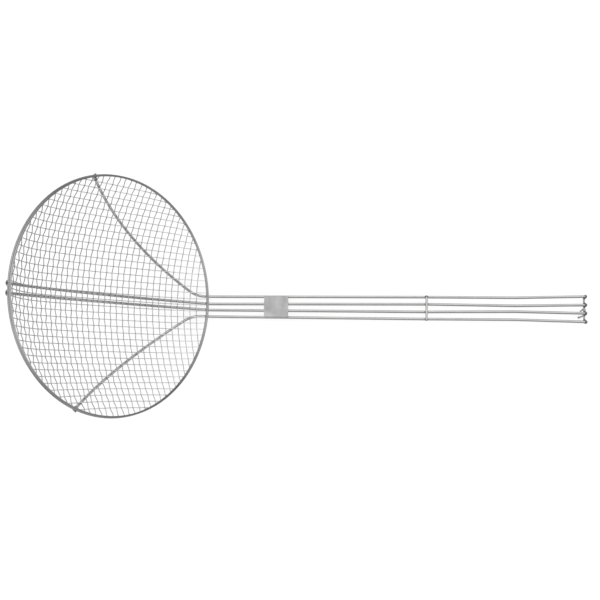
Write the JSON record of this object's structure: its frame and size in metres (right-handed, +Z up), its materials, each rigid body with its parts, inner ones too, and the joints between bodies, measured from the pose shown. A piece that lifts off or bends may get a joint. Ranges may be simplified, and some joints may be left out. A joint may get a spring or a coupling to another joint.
{
  "type": "spider skimmer",
  "caption": "Round wire-mesh skimmer with a shallow woven bowl in a double wire rim, carried by long frame wires that run on as an angled handle with a plate, a cross bar and a hanging hook.",
  "frame": {"origin": "middle of the bounding box in X and Y, on the surface that the skimmer lies on", "axes": "+X along the handle from the bowl to the hook, +Y to the left of the handle, +Z up from the surface; the skimmer lies on its handle with the bowl tipped up"},
  "size_m": [0.5534, 0.24, 0.1971],
  "materials": {
    "rim_steel": "drawn stainless steel wire, softly bright",
    "mesh_steel": "fine drawn stainless steel wire, bright",
    "frame_steel": "drawn stainless steel wire, bright",
    "plate_steel": "satin stainless steel sheet"
  },
  "bodies": {
    "root": {"rim_wire": "rim_steel", "hem_wire": "rim_steel", "mesh_warp_wires": "mesh_steel", "mesh_weft_wires": "mesh_steel", "left_centre_frame_wire": "frame_steel", "right_centre_frame_wire": "frame_steel", "left_side_frame_wire": "frame_steel", "right_side_frame_wire": "frame_steel", "handle_plate": "plate_steel", "middle_cross_bar": "frame_steel", "end_cross_bar": "frame_steel", "hanging_hook": "frame_steel"}
  },
  "joints": []
}
